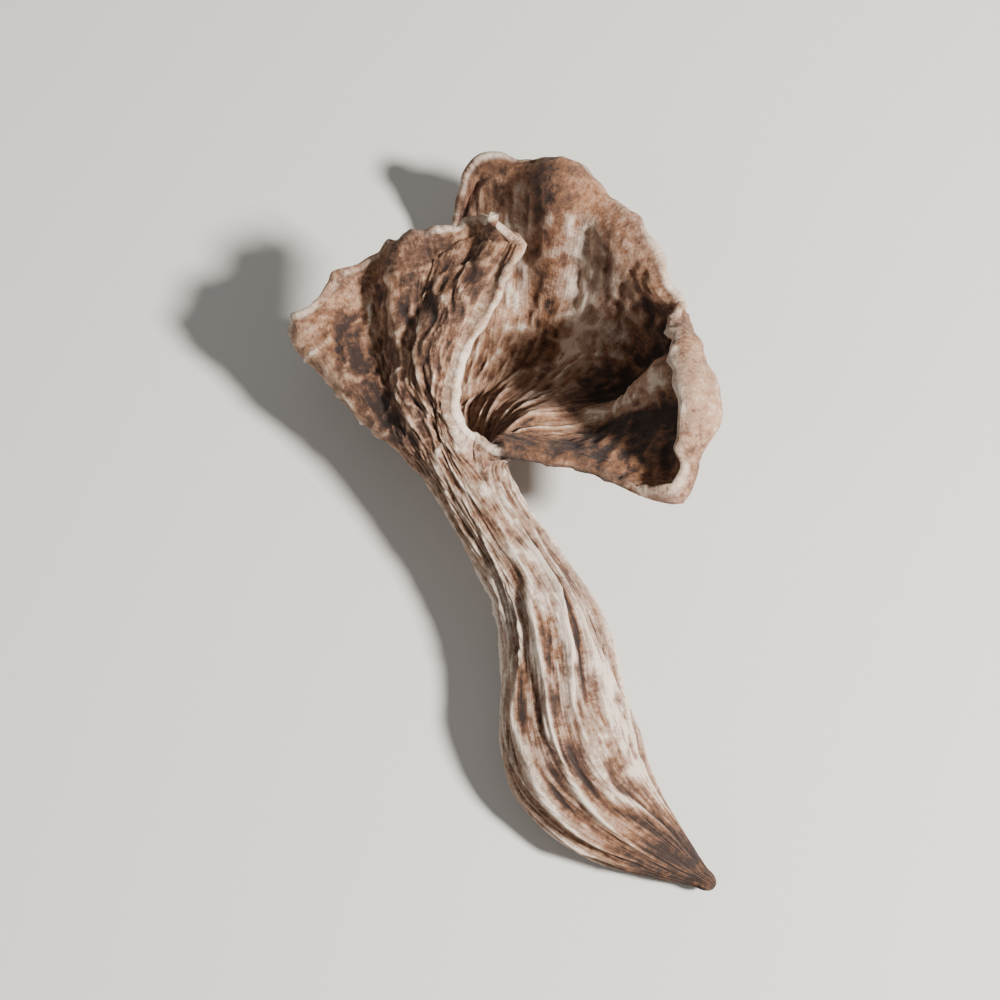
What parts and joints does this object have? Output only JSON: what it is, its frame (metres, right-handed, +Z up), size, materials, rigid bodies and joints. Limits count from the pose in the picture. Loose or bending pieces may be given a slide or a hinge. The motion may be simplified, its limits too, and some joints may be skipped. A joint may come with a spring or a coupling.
{
  "type": "dried black trumpet mushroom",
  "caption": "Dried black trumpet mushroom lying on its side: hollow ribbed stem that opens into a thin, crumpled funnel with a split side and a rolled lip.",
  "frame": {"origin": "centre of the bounding box in plan, on the surface that the mushroom lies on", "axes": "+Y from the pointed base of the stem towards the funnel, +Z up from the surface it lies on, +X to the right seen from above with the stem towards the viewer"},
  "size_m": [0.0172, 0.03, 0.0098],
  "materials": {
    "dried_flesh": "matt, dusty and leathery"
  },
  "bodies": {
    "root": {"black_trumpet": "dried_flesh"}
  },
  "joints": []
}
